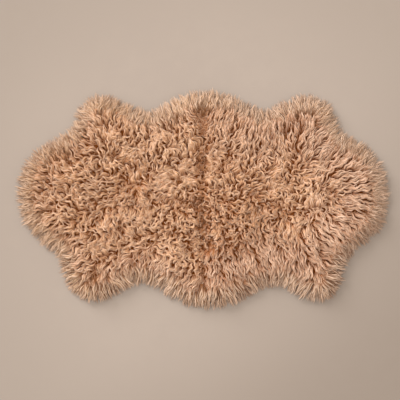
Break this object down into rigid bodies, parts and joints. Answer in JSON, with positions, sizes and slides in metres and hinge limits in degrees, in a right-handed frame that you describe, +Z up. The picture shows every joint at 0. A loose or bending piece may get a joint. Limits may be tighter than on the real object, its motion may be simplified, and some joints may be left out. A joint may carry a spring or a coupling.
{
  "type": "shaggy fur rug",
  "caption": "Shaggy floor rug of mirrored fur pelts sewn along a straight middle seam, with a wavy pelt-shaped outline, curly pile and long locks round the rim.",
  "frame": {"origin": "on the floor, under the middle of the rug's box", "axes": "+X along the rug's length, +Y along the middle seam, +Z up out of the pile"},
  "size_m": [1.0086, 0.5878, 0.0507],
  "materials": {
    "pile": "long curly fur pile, matte with a soft sheen, beige-brown with lighter tips"
  },
  "bodies": {
    "root": {"pelt_left": "pile", "pelt_right": "pile"}
  },
  "joints": []
}
